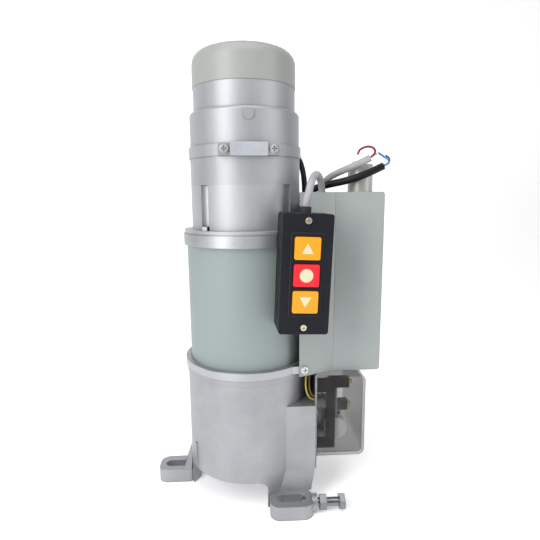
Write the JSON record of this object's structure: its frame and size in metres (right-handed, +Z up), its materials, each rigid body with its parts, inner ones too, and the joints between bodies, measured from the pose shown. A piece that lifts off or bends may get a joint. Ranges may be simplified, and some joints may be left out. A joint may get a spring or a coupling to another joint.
{
  "type": "rolling door operator",
  "caption": "Tube motor for a rolling door with slotted feet, gear case, brake, clear limit switch box, side control box and a three-button station on its cable.",
  "frame": {"origin": "point where the motor and output axis meets the plane that the feet stand on", "axes": "+Z up along the motor axis away from the feet, +X towards the limit unit and control box along the foot slots, -Y towards the button station"},
  "size_m": [0.2289, 0.1655, 0.421],
  "materials": {
    "cast": "silver paint on cast aluminium",
    "strap": "silver paint on strap steel",
    "tube": "matt grey-green plastic tube",
    "cap": "satin grey plastic",
    "sheet": "grey paint on sheet steel",
    "steel": "zinc plated",
    "core": "laminated steel",
    "copper": "varnished copper wire",
    "board": "circuit board",
    "parts": "moulded blue plastic",
    "can": "plain drawn can",
    "black": "black moulded plastic",
    "rubber": "black rubber",
    "clear": "clear moulded plastic",
    "brass": "plain brass",
    "wire": "yellow-green insulation",
    "ivory": "ivory moulded plastic",
    "grey_sheath": "grey cable sheath",
    "black_sheath": "black cable sheath",
    "cores": "core insulation",
    "nylon": "white nylon",
    "lining": "brake lining",
    "orange": "orange button plastic",
    "red": "red button plastic"
  },
  "bodies": {
    "root": {"gear_housing": "cast", "gear_plate": "cast", "output_bearings": "steel", "rotor_bearings": "steel", "stator_tube": "tube", "stator_core": "core", "stator_windings": "copper", "end_bell": "cast", "tie_bolts": "steel", "brake_housing": "cast", "inspection_plug": "cast", "brake_magnet": "core", "brake_coil": "copper", "rear_cap": "cap", "top_strap": "strap", "strap_bridge": "strap", "upper_box_strap": "strap", "lower_box_strap": "strap", "pan_screws": "steel", "control_box_base": "sheet", "control_box_cover": "sheet", "control_board": "board", "board_parts": "parts", "capacitor": "can", "cable_grommets": "rubber", "limit_plate": "steel", "limit_frame": "steel", "limit_carrier": "black", "limit_switches": "black", "limit_adjusters": "brass", "limit_cover": "clear", "limit_wires": "wire", "station_base": "black", "station_cover": "black", "station_screws": "brass", "contact_block": "ivory", "station_gland": "rubber", "station_cable": "grey_sheath", "motor_lead": "black_sheath", "supply_lead": "black_sheath", "control_lead": "grey_sheath", "lead_cores": "cores"},
    "rotor": {"rotor_shaft": "steel", "rotor_core": "core", "brake_disc": "lining"},
    "first_gears": {"first_countershaft": "steel"},
    "second_gears": {"second_countershaft": "steel"},
    "output": {"output_shaft": "steel", "output_sprocket": "steel"},
    "idler": {"limit_idler": "nylon"},
    "worm": {"limit_worm": "steel"},
    "limit_cams": {"limit_wheel": "nylon"},
    "armature": {"brake_armature": "steel"},
    "up_button": {"button_up": "orange"},
    "stop_button": {"button_stop": "red"},
    "down_button": {"button_down": "orange"},
    "low_pin": {"low_switch_pin": "steel"},
    "high_pin": {"high_switch_pin": "steel"},
    "front_bolt": {"front_tension_bolt": "steel"},
    "back_bolt": {"back_tension_bolt": "steel"}
  },
  "joints": [
    {"name": "rotor_spin", "type": "hinge", "parent": "root", "child": "rotor", "pos_m": [0, 0, 0], "axis": [0, 0, 1], "continuous": true},
    {"name": "first_gear_spin", "type": "hinge", "parent": "root", "child": "first_gears", "pos_m": [-0.02598, 0.015, 0], "axis": [0, 0, 1], "continuous": true},
    {"name": "second_gear_spin", "type": "hinge", "parent": "root", "child": "second_gears", "pos_m": [-0.02598, -0.015, 0], "axis": [0, 0, 1], "continuous": true},
    {"name": "output_spin", "type": "hinge", "parent": "root", "child": "output", "pos_m": [0, 0, 0], "axis": [0, 0, 1], "continuous": true},
    {"name": "idler_spin", "type": "hinge", "parent": "root", "child": "idler", "pos_m": [0.042, 0, 0], "axis": [0, 0, 1], "continuous": true},
    {"name": "worm_spin", "type": "hinge", "parent": "root", "child": "worm", "pos_m": [0.072, 0, 0], "axis": [0, 0, 1], "continuous": true},
    {"name": "limit_cam_spin", "type": "hinge", "parent": "root", "child": "limit_cams", "pos_m": [0.0845, 0, 0.064], "axis": [0, 1, 0], "continuous": true},
    {"name": "brake_release", "type": "slide", "parent": "root", "child": "armature", "axis": [0, 0, 1], "range_m": [-0.0006, 0], "stiffness_N_per_m": 4000, "springref_m": 0.001},
    {"name": "up_press", "type": "slide", "parent": "root", "child": "up_button", "axis": [-0.0523, 0.9986, 0.0023], "range_m": [0, 0.002], "stiffness_N_per_m": 800, "springref_m": -0.001},
    {"name": "stop_press", "type": "slide", "parent": "root", "child": "stop_button", "axis": [-0.0523, 0.9986, 0.0023], "range_m": [0, 0.002], "stiffness_N_per_m": 800, "springref_m": -0.001},
    {"name": "down_press", "type": "slide", "parent": "root", "child": "down_button", "axis": [-0.0523, 0.9986, 0.0023], "range_m": [0, 0.002], "stiffness_N_per_m": 800, "springref_m": -0.001},
    {"name": "low_switch_press", "type": "slide", "parent": "root", "child": "low_pin", "axis": [0, 0, 1], "range_m": [0, 0.001], "stiffness_N_per_m": 300, "springref_m": -0.0005},
    {"name": "high_switch_press", "type": "slide", "parent": "root", "child": "high_pin", "axis": [0, 0, 1], "range_m": [0, 0.001], "stiffness_N_per_m": 300, "springref_m": -0.0005},
    {"name": "front_tension", "type": "slide", "parent": "root", "child": "front_bolt", "axis": [1, 0, 0], "range_m": [-0.002, 0.0035]},
    {"name": "back_tension", "type": "slide", "parent": "root", "child": "back_bolt", "axis": [1, 0, 0], "range_m": [-0.002, 0.0035]}
  ],
  "couplings": [
    {"joint": "first_gear_spin", "follows": "rotor_spin", "ratio": -0.25},
    {"joint": "second_gear_spin", "follows": "rotor_spin", "ratio": 0.083333},
    {"joint": "output_spin", "follows": "rotor_spin", "ratio": -0.020833},
    {"joint": "idler_spin", "follows": "rotor_spin", "ratio": 0.027778},
    {"joint": "worm_spin", "follows": "rotor_spin", "ratio": -0.041667},
    {"joint": "limit_cam_spin", "follows": "rotor_spin", "ratio": -0.0023148}
  ]
}
